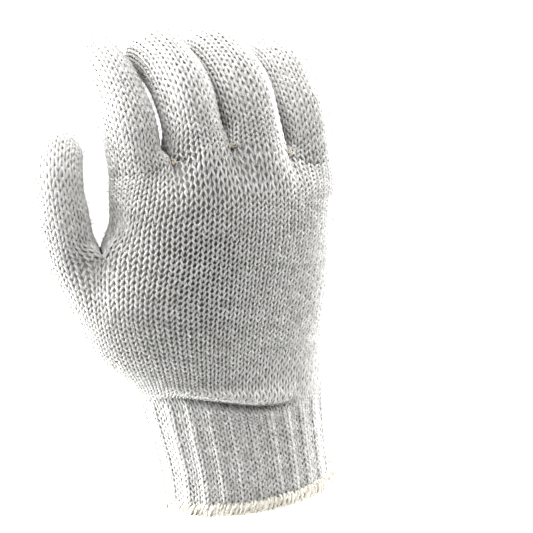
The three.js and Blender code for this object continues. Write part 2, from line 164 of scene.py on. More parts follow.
def cuff_level(up):
    return dict(
        x=float(read(CUFF_LEVELS, "up", "x", up)) * CUFF_WIDTH,
        z=up * CUFF_HEIGHT,
        width=float(read(CUFF_LEVELS, "up", "width", up)) * CUFF_WIDTH,
        back=float(read(CUFF_LEVELS, "up", "back", up)) * CUFF_DEPTH,
        palm=float(read(CUFF_LEVELS, "up", "palm", up)) * CUFF_DEPTH,
        slant=0,
        turn=WRIST_TURN,
        drawn=0,
    )


def hand_level(row):
    return dict(
        x=row["x"] * HAND_WIDTH,
        z=CUFF_HEIGHT + row["up"] * HAND_HEIGHT,
        width=row["width"] * HAND_WIDTH,
        back=row["back"] * HAND_DEPTH,
        palm=row["palm"] * HAND_DEPTH,
        slant=row["slant"] * HAND_WIDTH,
        turn=RUNS["turn"][RUNS["up"].index(row["up"])],
        drawn=RUNS["drawn"][RUNS["up"].index(row["up"])],
    )


class Digit:
    """A finger or the thumb: a centre line bent at two knuckles, with a closing tip."""

    def __init__(self, spec, length, width, depth):
        self.name, self.width, self.depth = spec["name"], width, depth
        pose = POSES[self.name]
        lean, turn = math.radians(pose["lean"]), math.radians(pose["turn"])
        rise = np.array([math.sin(lean), 0, math.cos(lean)])
        fold = np.array([math.sin(turn), math.cos(turn), 0])
        fold = unit(fold - rise * fold.dot(rise))
        self.side = np.cross(fold, rise)
        along = np.arange(BONE_STEPS + 1) / BONE_STEPS
        first = ease((along - KNUCKLES[0] + BEND_REACH) / (2 * BEND_REACH))
        second = ease((along - KNUCKLES[1] + BEND_REACH) / (2 * BEND_REACH))
        a, b, c = pose["bends"]
        bend = np.radians(a + (b - a) * first + (c - b) * second)[:, None]
        self.ahead = rise * np.cos(bend) + fold * np.sin(bend)
        self.back = rise * np.sin(bend) - fold * np.cos(bend)
        walk = np.cumsum(self.ahead * length / BONE_STEPS, axis=0)
        root = (spec["x"] * HAND_WIDTH, spec["y"] * HAND_DEPTH, CUFF_HEIGHT + spec["up"] * HAND_HEIGHT)
        self.centre = np.array(root) + np.concatenate([np.zeros((1, 3)), walk[:-1]])
        self.ring = self.at(0, np.arange(AROUND))

    def at(self, along, strip):
        """Points of the outer face, at shares of the length and at columns round the digit."""
        along, strip = np.broadcast_arrays(np.asarray(along, float), np.asarray(strip, float))
        place = np.clip(along, 0, 1) * BONE_STEPS
        i = np.minimum(place.astype(int), BONE_STEPS - 1)
        t = (place - i)[..., None]
        centre = self.centre[i] * (1 - t) + self.centre[i + 1] * t
        back = unit(self.back[i] * (1 - t) + self.back[i + 1] * t)
        angle = math.pi / 2 + (FACE / 2 - strip) * 2 * math.pi / AROUND
        closing = np.maximum(along - 1 + TIP_CAP, 0) / TIP_CAP
        girth = read(GIRTHS, "along", "girth", along) * np.sqrt(np.maximum(1 - closing**TIP_POWER, 0))
        centre = centre + self.side * (np.cos(angle) * girth * self.width / 2)[..., None]
        return centre + back * (np.sin(angle) * girth * self.depth / 2)[..., None]


def pull(points, first, last):
    """A run of points with its ends moved onto two given points."""
    t = np.arange(len(points))[:, None] / (len(points) - 1)
    start = (first - points[0]) * (1 - ease(2 * t)) * (1 - t)
    end = (last - points[-1]) * ease(2 * t - 1) * t
    return points + start + end


def right_of(ring):
    return ring[FACE:FACE + SIDE + 1]


def left_of(ring):
    return np.concatenate([ring[2 * FACE + SIDE:], ring[:1]])


def root_ring(ring, left, right):
    """A digit's first ring, with its flanks moved onto the lines that it shares with its neighbours."""
    right = right_of(ring) if right is None else right
    left = left_of(ring) if left is None else left
    back = pull(ring[:FACE + 1], left[-1], right[0])
    palm = pull(ring[FACE + SIDE:2 * FACE + SIDE + 1], right[-1], left[0])
    return np.concatenate([back[:-1], right[:-1], palm[:-1], left[:-1]])


def catmull(rings, t):
    """Points on the centripetal curve through the rings, for shares t of its run."""
    last = len(rings) - 1
    i = np.clip((t * last).astype(int), 0, last - 1)
    w = (t * last - i)[:, None, None]
    r = np.concatenate([[2 * rings[0] - rings[1]], rings, [2 * rings[-1] - rings[-2]]])
    p0, p1, p2, p3 = r[i], r[i + 1], r[i + 2], r[i + 3]
    spans = (p1 - p0, p2 - p1, p3 - p2)
    gap = [np.maximum(np.linalg.norm(span, axis=-1, keepdims=True), 1e-6) ** 0.5 for span in spans]
    m1 = ((p1 - p0) / gap[0] - (p2 - p0) / (gap[0] + gap[1]) + (p2 - p1) / gap[1]) * gap[1]
    m2 = ((p2 - p1) / gap[1] - (p3 - p1) / (gap[1] + gap[2]) + (p3 - p2) / gap[2]) * gap[1]
    return p1 + m1 * w + (3 * p2 - 3 * p1 - 2 * m1 - m2) * w**2 + (2 * p1 - 2 * p2 + m1 + m2) * w**3


# The digits and the rings where the tube parts
fingers = [
    Digit(f, f["length"] * FINGER_LENGTH, f["width"] * HAND_WIDTH - GAP, f["depth"] * FINGER_DEPTH)
    for f in FINGERS
]
thumb = Digit(THUMB, THUMB_LENGTH, THUMB_WIDTH, THUMB_DEPTH)
crotches = [(right_of(a.ring) + left_of(b.ring)[::-1]) / 2 for a, b in zip(fingers, fingers[1:])]
for k, finger in enumerate(fingers):
    finger.root = root_ring(finger.ring, crotches[k - 1][::-1] if k else None, crotches[k] if k < 3 else None)
split = oval(hand_level(UPPER_LEVELS[0]), UPPER, SIDE)
web = (right_of(thumb.ring) + np.concatenate([split[UPPER - SIDE:], split[:1]])[::-1]) / 2
thumb.root = root_ring(thumb.ring, None, web)
faces4 = 4 * FACE
split_back = pull(split[:faces4 + 1], web[0], split[faces4])[:-1]
split_right = split[faces4:faces4 + SIDE]
split_palm = pull(split[faces4 + SIDE:2 * faces4 + SIDE + 1], split[faces4 + SIDE], web[-1])[:-1]
upper_start = np.concatenate([split_back, split_right, split_palm, web[::-1][:-1]])
lower_end = np.concatenate([thumb.root[:FACE], split_back, split_right, split_palm, thumb.root[FACE + SIDE:]])
upper_end = np.concatenate(
    [f.root[:FACE] for f in fingers]
    + [fingers[3].root[FACE:FACE + SIDE]]
    + [f.root[FACE + SIDE:2 * FACE + SIDE] for f in fingers[::-1]]
    + [fingers[0].root[2 * FACE + SIDE:]]
)


def sag(p):
    """The cloth of the back hangs over the cuff in one tilted fold, with a crease under it."""
    on_back = ease(-2 * p[..., 1] / HAND_DEPTH)
    up = p[..., 2] - CUFF_HEIGHT
    bulge = FOLD_BULGE * np.exp(-(((up - FOLD_UP) / FOLD_TALL) ** 2))
    bulge = bulge - FOLD_CREASE * np.exp(-((up / CREASE_TALL) ** 2))
    within = np.maximum(1 - ((p[..., 0] - FOLD_MIDDLE) / FOLD_SPAN) ** 2, 0) * on_back
    across = (p[..., 0] - FOLD_MIDDLE) / SAG_SPAN
    follow = np.maximum(1 - across**2, 0) * on_back * (1 - ease(np.abs(up) / SAG_REACH))
    moved = p.copy()
    moved[..., 1] -= bulge * within**FOLD_FADE
    moved[..., 2] -= (SAG_TILT * across + SAG_DROP) * follow
    return moved


def courses(fine, spacing=COURSE):
    """Rows at even steps up a finely lofted surface."""
    step = np.linalg.norm(np.diff(fine, axis=0), axis=-1).mean(1)
    length = np.concatenate([[0], np.cumsum(step)])
    count = max(int(round(length[-1] / spacing)), 2)
    place = np.interp(np.linspace(0, length[-1], count + 1), length, np.arange(len(fine)))
    i = np.minimum(place.astype(int), len(fine) - 2)
    t = (place - i)[:, None, None]
    return fine[i] * (1 - t) + fine[i + 1] * t


class Cloth:
    """A tube of courses by columns. It gives the place and the outward direction at any stitch."""

    def __init__(self, rows, shape=None):
        self.rows, self.shape = rows, shape
        self.height, self.count = len(rows) - 1, rows.shape[1]
        du = np.roll(rows, -1, 1) - np.roll(rows, 1, 1)
        dv = np.gradient(rows, axis=0)
        self.out = unit(np.cross(du, dv))
        self.padded = np.concatenate([2 * rows[:1] - rows[1:2], rows, 2 * rows[-1:] - rows[-2:-1]])
        self.padded_out = np.concatenate([self.out[:1], self.out, self.out[-1:]])

    def at(self, u, v):
        i = np.clip(np.floor(v), 0, self.height - 1).astype(int)
        t = v - i
        j = np.floor(u).astype(int)
        s = u - j

        def weights(x):
            """The four weights of a smooth curve through evenly spaced points."""
            before = -0.5 * x + x**2 - 0.5 * x**3
            near = 1 - 2.5 * x**2 + 1.5 * x**3
            far = 0.5 * x + 2 * x**2 - 1.5 * x**3
            beyond = -0.5 * x**2 + 0.5 * x**3
            return np.stack([before, near, far, beyond], -1)

        inside = (t >= 0) & (t <= 1)
        wt = weights(np.clip(t, 0, 1))
        lin = np.stack([np.zeros_like(t), 1 - t, t, np.zeros_like(t)], -1)
        wt = np.where(inside[..., None], wt, lin)
        ws = weights(s)
        place = np.zeros(u.shape + (3,))
        out = np.zeros(u.shape + (3,))
        for a in range(4):
            for b in range(4):
                w = (wt[..., a] * ws[..., b])[..., None]
                jj = (j + b - 1) % self.count
                place += w * self.padded[i + a, jj]
                out += w * self.padded_out[i + a, jj]
        if self.shape is not None:
            place = self.shape(place)
        return place, unit(out)


# Yarn: its radius in mm, and its loops' sizes in columns, courses and mm
YARN = 0.66
LOOP_WIDE = 0.235
LOOP_TALL = 0.78
LOOP_DEEP = 0.42
STEPS = 12
SIDES = 4

# How uneven the loops are, one loop from the next, in shares of their width, in columns, in courses and in
# shares of their thickness, and the slow swelling of the yarn along its way
UNEVEN_WIDE, UNEVEN_ACROSS, UNEVEN_UP, UNEVEN_THICK = 0.1, 0.025, 0.02, 0.05
SWELL, SWELL_PACE, SWELL_SHIFT = 0.06, 0.13, 1.7

# Where the cloth is drawn open, in mm: round the middle of the back, and beside each fork. The same spots
# get painted shade on the fibres under the yarn. OPENED is the yarn's share of thinning there, and the fork
# weight says how much the forks count.
OPENED = 0.26
OPEN_SHADE_MIDDLE, OPEN_SHADE_SPAN = (-24, 108), (36, 50)
FORK_OPEN_SHADE = 0.7
FORK_SHIFT, FORK_SPAN = (4, 7), (6, 13)

# The layers of loose fibres, inwards from the middle of the wall, and the lift towards a digit's tip, in mm
FELT_DEPTHS = (0.3, 0.55)
TIP_LIFT = 0.5

# The fuzz, in mm: how far its loops stand out and slide, how they curl, and how deep they begin. It keeps a
# share of a course away from a cloth's ends.
FUZZ_TALL, FUZZ_WIDE = (0.7, 1.9), (0.3, 1.1)
FUZZ_CURL, FUZZ_SUNK, FUZZ_RADIUS = 0.7, 0.7, 0.06
FUZZ_MARGIN = 0.4
FUZZ_STEPS = 5

# Added to an outward direction, so that it is never quite along its yarn
NUDGE = 0.01

# Painted shade across a strand, darker on its inner side, and the strips of the texture map that its
# length is cut into
SIDE_SHADE = 0.35
STRIP = 120
STRIP_EDGE, STRIP_FILL = 0.04, 0.92


class Strands:
    """Closed lengths of yarn, gathered into one mesh."""

    def __init__(self):
        self.verts, self.quads, self.depth, self.rows = [], [], [], []
        self.base = 0

    def tube(self, line, out, radius, depth, sides=SIDES):
        """A closed yarn along a line. out points out of the cloth, and more depth lightens its painted shade.
        """
        n = len(line)
        ahead = unit(np.roll(line, -1, 0) - np.roll(line, 1, 0))
        across = unit(np.cross(ahead, out))
        outer = np.cross(across, ahead)
        r = np.broadcast_to(np.asarray(radius, float), (n,))
        turn = 2 * math.pi * np.arange(sides) / sides
        around = np.cos(turn)[None, :, None] * across[:, None] + np.sin(turn)[None, :, None] * outer[:, None]
        ring = line[:, None] + r[:, None, None] * around
        self.verts.append(ring.reshape(-1, 3))
        i = np.arange(n)[:, None]
        j = np.arange(sides)[None, :]
        a = i * sides + j
        b = i * sides + (j + 1) % sides
        c = ((i + 1) % n) * sides + (j + 1) % sides
        d = ((i + 1) % n) * sides + j
        quads = np.stack([a, d, c, b], -1).reshape(-1, 4) + self.base
        self.quads.append(quads)
        # Painted shade: the depth, made lighter on the yarn's outer side and darker on its inner side
        self.depth.append(np.repeat(depth, sides) + np.tile(np.sin(turn), n) * SIDE_SHADE)
        self.rows.append((n, sides))
        self.base += n * sides

    def mesh(self, name):
        """The mesh of all the yarns, with its painted shade and its texture map."""
        verts = np.concatenate(self.verts) * MM
        quads = np.concatenate(self.quads)
        mesh = bpy.data.meshes.new(name)
        mesh.vertices.add(len(verts))
        mesh.vertices.foreach_set("co", verts.astype(np.float32).ravel())
        mesh.loops.add(4 * len(quads))
        mesh.loops.foreach_set("vertex_index", quads.astype(np.int32).ravel())
        mesh.polygons.add(len(quads))
        mesh.polygons.foreach_set("loop_start", np.arange(0, 4 * len(quads), 4, dtype=np.int32))
        mesh.polygons.foreach_set("use_smooth", np.ones(len(quads), dtype=bool))
        # The painted shade goes to the material as the attribute rise
        shade = mesh.attributes.new("rise", "FLOAT", "POINT")
        shade.data.foreach_set("value", np.concatenate(self.depth).astype(np.float32))
        lanes = sum(math.ceil(n / STRIP) for n, _ in self.rows)
        uv = np.zeros((len(quads), 4, 2))
        lane, at = 0, 0
        for n, sides in self.rows:
            i = np.repeat(np.arange(n), sides)
            j = np.tile(np.arange(sides), n)
            low = (lane + i // STRIP + STRIP_EDGE) / lanes
            tall = STRIP_FILL / lanes / sides
            left, wide = (i % STRIP) / STRIP, 1 / STRIP
            block = uv[at:at + n * sides]
            block[:, 0] = np.stack([left, low + j * tall], 1)
            block[:, 1] = np.stack([left + wide, low + j * tall], 1)
            block[:, 2] = np.stack([left + wide, low + (j + 1) * tall], 1)
            block[:, 3] = np.stack([left, low + (j + 1) * tall], 1)
            lane += math.ceil(n / STRIP)
            at += n * sides
        layer = mesh.uv_layers.new(name="OFBake")
        layer.data.foreach_set("uv", uv.astype(np.float32).ravel())
        mesh.update()
        mesh.validate()
        obj = bpy.data.objects.new(name, mesh)
        bpy.context.scene.collection.objects.link(obj)
        return obj


def open_and_shaded(p):
    """How far the cloth is drawn open, and its painted shade, in shares of 1: mid-back and beside the forks.
    """

    def spot(x, z, span):
        return np.exp(-(((p[..., 0] - x) / span[0]) ** 2) - ((p[..., 2] - z) / span[1]) ** 2)

    middle = spot(*OPEN_SHADE_MIDDLE, OPEN_SHADE_SPAN)
    forks = sum(spot(fork[0][0] + FORK_SHIFT[0], fork[0][2] + FORK_SHIFT[1], FORK_SPAN) for fork in crotches)
    return np.minimum(middle + FORK_OPEN_SHADE * forks, 1) * ease(-2 * p[..., 1] / HAND_DEPTH)


def knit(strands, cloth, first, last, lift=None, loops=None, low=-math.inf, fuller=0.0):
    """Courses of plain loops on a cloth.

    lift(u, v) moves the cloth out, loops lists each course's count, and no loop reaches under the course
    low. The yarn is fuller towards the last course, by a share of its thickness."""
    for row in range(first, last):
        count = cloth.count if loops is None else loops[row]
        n = count * STEPS
        tau = 2 * math.pi * np.arange(n) / STEPS
        stitch = np.repeat(np.arange(count), STEPS)
        jit = rng.normal(0, 1, (3, count))
        wide = LOOP_WIDE * (1 + UNEVEN_WIDE * jit[0][stitch])
        u = tau / (2 * math.pi) + wide * np.sin(2 * tau) + UNEVEN_ACROSS * jit[1][stitch]
        u = u * cloth.count / count
        v = row + 0.5 + LOOP_TALL * np.cos(tau) + UNEVEN_UP * jit[2][stitch]
        v = np.maximum(v, low)
        place, out = cloth.at(u % cloth.count, v)
        rise = -np.cos(2 * tau)
        opened = 1 - OPENED * open_and_shaded(place) + fuller * row / last
        height = -WALL / 2 + LOOP_DEEP * rise
        if lift is not None:
            height = height + lift(u % cloth.count, v)
        line = place + out * height[:, None]
        swell = SWELL * np.sin(tau * SWELL_PACE + row * SWELL_SHIFT)
        thick = YARN * (1 + swell + UNEVEN_THICK * rng.normal(0, 1, count)[stitch])
        # Painted shade: the yarn is darker where its loop sinks into the cloth, lighter where it stands out
        strands.tube(line, out, thick * opened, depth=rise)


def felt(name, cloth, node, lift=None, last=None):
    """The loose fibres that fill the pores: a thin layer just inside the middle of the wall."""
    last = cloth.height if last is None else last
    rise, column = np.linspace(0, last, 2 * cloth.height + 1), np.arange(cloth.count, dtype=float)
    v, u = np.meshgrid(rise, column, indexing="ij")
    middle, out = cloth.at(u, v)
    layers = []
    for depth in FELT_DEPTHS:
        height = -WALL / 2 - depth
        if lift is not None:
            height = (height + lift(u, v))[..., None]
        layers.append(middle + out * height)
    rows, count = v.shape
    verts = np.concatenate([layer.reshape(-1, 3) for layer in layers])
    i, j = np.meshgrid(np.arange(rows - 1), np.arange(count), indexing="ij")
    a, b = i * count + j, i * count + (j + 1) % count
    outer = np.stack([a, b, b + count, a + count], -1).reshape(-1, 4)
    inner = outer[:, ::-1] + rows * count
    j = np.arange(count)
    k = (j + 1) % count
    low = np.stack([j, j + rows * count, k + rows * count, k], -1)
    top = low[:, ::-1] + (rows - 1) * count
    quads = np.concatenate([outer, inner, low, top])
    mesh = bpy.data.meshes.new(name)
    mesh.from_pydata((verts * MM).tolist(), [], quads.tolist())
    mesh.polygons.foreach_set("use_smooth", np.ones(len(quads), dtype=bool))
    # Painted shade on the fibres: darker in the middle of the back and beside the forks
    shade = mesh.attributes.new("opened", "FLOAT", "POINT")
    shade.data.foreach_set("value", open_and_shaded(verts).astype(np.float32))
    obj = bpy.data.objects.new(name, mesh)
    bpy.context.scene.collection.objects.link(obj)
    obj.data.materials.append(fibres)
    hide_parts(node)
    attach(obj, "root")


def fuzz(name, cloth, node, slot_name, count):
    """Fine loops of loose fibre that stand out of the cloth."""
    u, v = rng.uniform(0, cloth.count, count), rng.uniform(FUZZ_MARGIN, cloth.height - FUZZ_MARGIN, count)
    base, out = cloth.at(u, v)
    slide, curl = unit(rng.normal(0, 1, (2, count, 3)))
    tall, wide = rng.uniform(*FUZZ_TALL, count), rng.uniform(*FUZZ_WIDE, count)
    turn = 2 * math.pi * np.arange(FUZZ_STEPS) / FUZZ_STEPS
    rise = (1 - np.cos(turn))[None, :, None] / 2
    lines = base[:, None] + out[:, None] * (rise * tall[:, None, None] - FUZZ_SUNK)
    lines = lines + slide[:, None] * np.sin(turn)[None, :, None] * wide[:, None, None]
    lines = lines + curl[:, None] * rise**2 * FUZZ_CURL
    strands = Strands()
    for line, across in zip(lines, np.cross(out, slide) + NUDGE):
        strands.tube(line, across, FUZZ_RADIUS, sides=3, depth=np.ones(FUZZ_STEPS))
    place(strands, name, node, slot_name, cotton)


def principled(name, color, rough, sheen):
    """A material with one shader, its node tree and the shader."""
    mat = bpy.data.materials.new(name)
    mat.use_nodes = True
    tree = mat.node_tree
    node = tree.nodes["Principled BSDF"]
    node.inputs["Base Color"].default_value = (*color, 1)
    node.inputs["Roughness"].default_value = rough
    node.inputs["Specular IOR Level"].default_value = 0.2
    node.inputs["Sheen Weight"].default_value = sheen
    node.inputs["Sheen Roughness"].default_value = 0.6
    return mat, tree, node


def noise(tree, scale, detail):
    """A noise fixed to the object."""
    where = tree.nodes.new("ShaderNodeTexCoord")
    node = tree.nodes.new("ShaderNodeTexNoise")
    node.inputs["Scale"].default_value = scale
    node.inputs["Detail"].default_value = detail
    tree.links.new(where.outputs["Object"], node.inputs["Vector"])
    return node.outputs["Fac"]


def mottle(tree, shader, noise_value, stops, attribute, ranges):
    """The base colour: two tones mixed by a noise, times a painted shade that follows an attribute of the
    mesh.

    stops are the tones with their places, and ranges the attribute's and the shade's ends."""
    new, link = tree.nodes.new, tree.links.new
    ramp = new("ShaderNodeValToRGB")
    for element, (position, color) in zip(ramp.color_ramp.elements, stops):
        element.position = position
        element.color = (*color, 1)
    link(noise_value, ramp.inputs["Fac"])
    value = new("ShaderNodeAttribute")
    value.attribute_name = attribute
    shade = new("ShaderNodeMapRange")
    for socket, number in zip(("From Min", "From Max", "To Min", "To Max"), ranges):
        shade.inputs[socket].default_value = number
    link(value.outputs["Fac"], shade.inputs["Value"])
    scaled = new("ShaderNodeVectorMath")
    scaled.operation = "SCALE"
    link(ramp.outputs["Color"], scaled.inputs[0])
    link(shade.outputs["Result"], scaled.inputs["Scale"])
    link(scaled.outputs["Vector"], shader.inputs["Base Color"])


def roughen(tree, shader, noise_value, strength, distance):
    """Small bumps from a noise."""
    bump = tree.nodes.new("ShaderNodeBump")
    bump.inputs["Strength"].default_value = strength
    bump.inputs["Distance"].default_value = distance
    tree.links.new(noise_value, bump.inputs["Height"])
    tree.links.new(bump.outputs["Normal"], shader.inputs["Normal"])


def yarn_material(name, light, dark):
    """Matt cotton: mottled, with painted shade deep in the stitch, and with a fine nap."""
    mat, tree, shader = principled(name, light, rough=0.92, sheen=0.25)
    mottle(tree, shader, noise(tree, 420, 3), ((0.32, dark), (0.62, light)), "rise", (-1.3, 0.4, 0.85, 1.0))
    roughen(tree, shader, noise(tree, 2600, 2), strength=0.5, distance=0.0003)
    return mat


def fibre_material(name, light, dark):
    """Matt, uneven fibres between the stitches, with painted shade where the cloth is drawn open."""
    mat, tree, shader = principled(name, light, rough=1.0, sheen=0)
    uneven = noise(tree, 900, 4)
    # The attribute opened is painted shade: it darkens the fibres to 0.28 of their colour at most
    mottle(tree, shader, uneven, ((0.35, dark), (0.65, light)), "opened", (0.0, 1.0, 1.0, 0.28))
    roughen(tree, shader, uneven, strength=0.8, distance=0.0004)
    return mat


cotton = yarn_material("cotton_yarn", (0.76, 0.755, 0.745), (0.6, 0.595, 0.58))
ecru = yarn_material("ecru_thread", (0.83, 0.81, 0.76), (0.73, 0.7, 0.63))
fibres = fibre_material("cotton_fibres", (0.7, 0.695, 0.68), (0.58, 0.575, 0.56))
tan = yarn_material("fork_yarn", (0.74, 0.7, 0.62), (0.56, 0.5, 0.42))
brown = yarn_material("knot_thread", (0.52, 0.46, 0.38), (0.25, 0.2, 0.15))


def place(strands, name, node, slot_name, material):
    """Makes the strands a piece that stands for a node."""
    obj = strands.mesh(name)
    obj.data.materials.append(material)
    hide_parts(node)
    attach(obj, "root")


# Rings in each loft of a surface, before its courses are laid out on it
LOWER_LOFT, UPPER_LOFT, DIGIT_LOFT, CUFF_LOFT = 161, 121, 201, 41
THUMB_GUIDES = (0.2, 0.45)

# Hand. Each column's line is one smooth curve from the cuff to the fingers or the thumb, so it doesn't kink
# where the thumb parts from the hand. Guide rings beyond each end keep the curve's direction.
lower_rings = np.array([oval(hand_level(row), LOWER, SIDE) for row in LOWER_LEVELS] + [lower_end])
upper_ovals = [oval(hand_level(row), UPPER, SIDE) for row in UPPER_LEVELS[1:]]
upper_rings = np.array([upper_start, *upper_ovals, upper_end])
to_hand = np.arange(FACE, LOWER - FACE - SIDE)
thumb_rows = [
    thumb.at(along, np.arange(AROUND)) + (thumb.root - thumb.ring) * (1 - ease(along / ROOT_BLEND))
    for along in THUMB_GUIDES
]
beyond = [np.zeros((LOWER, 3)) for _ in range(2)]
for row, ring, thumb_row in zip(beyond, upper_rings[1:], thumb_rows):
    row[to_hand] = ring[:len(to_hand)]
    row[:FACE] = thumb_row[:FACE]
    row[LOWER - FACE - SIDE:] = thumb_row[FACE + SIDE:]
full = np.concatenate([lower_rings, beyond])
lower_share = (len(lower_rings) - 1) / (len(full) - 1)
lower_fine = catmull(full, np.linspace(0, lower_share, LOWER_LOFT))
below = np.zeros((2, UPPER, 3))
below[:, :len(to_hand)] = lower_rings[-3:-1, to_hand]
below[1, len(to_hand):] = 2 * upper_rings[0, len(to_hand):] - upper_rings[1, len(to_hand):]
below[0, len(to_hand):] = 3 * upper_rings[0, len(to_hand):] - 2 * upper_rings[1, len(to_hand):]
full = np.concatenate([below, upper_rings])
upper_fine = catmull(full, np.linspace(len(below) / (len(full) - 1), 1, UPPER_LOFT))
lower = Cloth(courses(lower_fine), sag)
upper = Cloth(courses(upper_fine))
half = lower.height // 2
hand_pieces = (
    ("hand_heel", lower, (0, half)),
    ("hand_palm", lower, (half, lower.height)),
    ("hand_knuckles", upper, (0, upper.height)),
)
for name, cloth, span in hand_pieces:
    strands = Strands()
    knit(strands, cloth, *span)
    place(strands, name, "hand", "hand", cotton)

felt("hand_felt", lower, "hand")
felt("knuckle_felt", upper, "hand")
fuzz("hand_fuzz", lower, "hand", "hand", 900)
fuzz("knuckle_fuzz", upper, "hand", "hand", 400)

# Digits: the height and the width of a stitch in mm, the fewest stitches in a course, the course that the
# first loops stop at, the courses that the felt leaves free at the tip, and the yarn's fullness there
DIGIT_COURSE, DIGIT_STITCH, FEWEST = 2.6, 3.0, 5
DIGIT_LOW, DIGIT_FREE = -0.45, 0.6
DIGIT_FULLER = 0.25


def stitch_counts(cloth):
    """How many stitches each course of a digit has, by its girth."""
    closed = np.concatenate([cloth.rows, cloth.rows[:, :1]], 1)
    girth = np.linalg.norm(np.diff(closed, axis=1), axis=-1).sum(1)
    return [int(np.clip(round(g / DIGIT_STITCH), FEWEST, AROUND)) for g in (girth[:-1] + girth[1:]) / 2]


for digit in [thumb, *fingers]:
    along = np.linspace(0, 1, DIGIT_LOFT)[:, None]
    shift = digit.root - digit.ring
    fine = digit.at(along, np.arange(AROUND)[None]) + shift[None] * (1 - ease(along / ROOT_BLEND))[:, :, None]
    cloth = Cloth(courses(fine, DIGIT_COURSE))
    counts = stitch_counts(cloth)
    strands = Strands()
    knit(strands, cloth, 0, cloth.height - 1, loops=counts, low=DIGIT_LOW, fuller=DIGIT_FULLER)
    place(strands, digit.name + "_knit", digit.name, "digits", cotton)

    def closer(u, v):
        return TIP_LIFT * v / cloth.height

    felt(digit.name + "_felt", cloth, digit.name, lift=closer, last=cloth.height - DIGIT_FREE)
    fuzz(digit.name + "_fuzz", cloth, digit.name, "digits", 220)

# Cuff: its knit begins above the edge, and its ribs are three columns apart. They rise over a few courses at
# each end. Their relief is in mm, and RIB_BROAD widens their crests.
CUFF_FOOT = 1.5
RIB_COLUMNS, RIB_BROAD = 3, 0.3
RIB_RELIEF, RIB_SUNK = 0.85, 0.6
RIB_TOP, RIB_FOOT = 2, 3
levels = np.linspace(CUFF_FOOT / CUFF_HEIGHT, 1, CUFF_LOFT)
cuff = Cloth(courses(np.array([oval(cuff_level(up), LOWER, SIDE) for up in levels])), sag)


def rib(u, v):
    """How far the ribs lift the cloth out."""
    settle = ease((cuff.height - v) / RIB_TOP) * ease((v + 0.5) / RIB_FOOT)
    crest = ease((np.cos(2 * math.pi * u / RIB_COLUMNS) + RIB_BROAD) / (1 + RIB_BROAD))
    return (RIB_RELIEF * crest - RIB_SUNK) * settle


strands = Strands()
knit(strands, cuff, 0, cuff.height, lift=rib)
place(strands, "rib_cuff_knit", "rib_cuff", "rib_cuff", cotton)
felt("rib_cuff_felt", cuff, "rib_cuff", lift=rib)
fuzz("rib_cuff_fuzz", cuff, "rib_cuff", "rib_cuff", 400)

# Overlocked edge: a bundle round the raw end, two threads wrapped round it both ways, and two more threads
# wrapped round its foot and its top. Sizes are in mm, and a lean is in wraps.
EDGE_STEPS, WRAP_STEPS, EDGE_SIDES = 720, 14, 6
EDGE_THREADS = (
    dict(pitch=1.9, reach=WALL / 2 + 0.85, rise=2.35, foot=2.95, thick=0.56, way=1, lean=0.35),
    dict(pitch=2.1, reach=WALL / 2 + 1.1, rise=2.25, foot=2.8, thick=0.54, way=-1, lean=0.6),
    dict(pitch=1.7, reach=WALL / 2 + 1.3, rise=0.8, foot=1.2, thick=0.52, way=1, lean=0.4),
    dict(pitch=2.9, reach=WALL / 2 + 1.4, rise=0.8, foot=4.4, thick=0.46, way=-1, lean=0.4),
)
EDGE_UNEVEN = dict(along=0.12, wide=0.09, tall=0.1, up=0.15, thick=0.1)
BUNDLE_UP, BUNDLE_RADIUS, BUNDLE_SIDES = 2.9, 1.95, 10
EDGE_RING = oval(cuff_level(0), EDGE_STEPS, 0)
EDGE_AHEAD = unit(np.roll(EDGE_RING, -1, 0) - np.roll(EDGE_RING, 1, 0))
EDGE_LENGTH = np.linalg.norm(np.roll(EDGE_RING, -1, 0) - EDGE_RING, axis=1).sum()


def wander(count, n, amount):
    """Smooth random change around a closed ring, with one value for each of count stitches."""
    values = rng.normal(0, amount, count)
    return np.interp(np.arange(n) * count / n, np.arange(count + 1), np.append(values, values[0]))


def round_edge(ring, t):
    """Values of a ring of the edge, at shares t of the way round."""
    steps = np.arange(EDGE_STEPS + 1)
    return np.stack([np.interp(t * EDGE_STEPS, steps, np.append(a, a[0])) for a in ring.T], 1)


def edge_thread(strands, pitch, reach, rise, foot, thick, way, lean):
    """A thread wrapped round the edge, with uneven wraps."""
    wraps = int(EDGE_LENGTH / pitch)
    n = wraps * WRAP_STEPS
    turn = way * 2 * math.pi * np.arange(n) / WRAP_STEPS
    t = (np.arange(n) / n + lean * np.sin(turn) / wraps + wander(wraps, n, EDGE_UNEVEN["along"]) / wraps) % 1
    centre = round_edge(EDGE_RING, t)
    out = unit(np.cross(round_edge(EDGE_AHEAD, t), [0, 0, 1]))
    wide = reach * (1 + wander(wraps, n, EDGE_UNEVEN["wide"]))
    tall = rise * (1 + wander(wraps, n, EDGE_UNEVEN["tall"]))
    line = centre + out * (-WALL / 2 + wide * np.cos(turn))[:, None]
    height = foot + tall * np.sin(turn) + wander(wraps, n, EDGE_UNEVEN["up"])
    line += np.array([0, 0, 1.0]) * height[:, None]
    thick = thick * (1 + wander(wraps, n, EDGE_UNEVEN["thick"]))
    # Painted shade: each wrap is darker on its inner side, inside the glove, and lighter outside
    strands.tube(line, out, thick, depth=np.cos(turn), sides=EDGE_SIDES)


strands = Strands()
for thread in EDGE_THREADS:
    edge_thread(strands, **thread)
bundle = EDGE_RING[::3] + np.array([0, 0, BUNDLE_UP])
inward = unit(np.cross([0, 0, 1], unit(np.roll(bundle, -1, 0) - np.roll(bundle, 1, 0))))
middle = bundle + inward * WALL / 2
strands.tube(middle, inward, BUNDLE_RADIUS, depth=np.ones(len(bundle)), sides=BUNDLE_SIDES)
place(strands, "edge_threads", "cuff_edge", "cuff_edge", ecru)

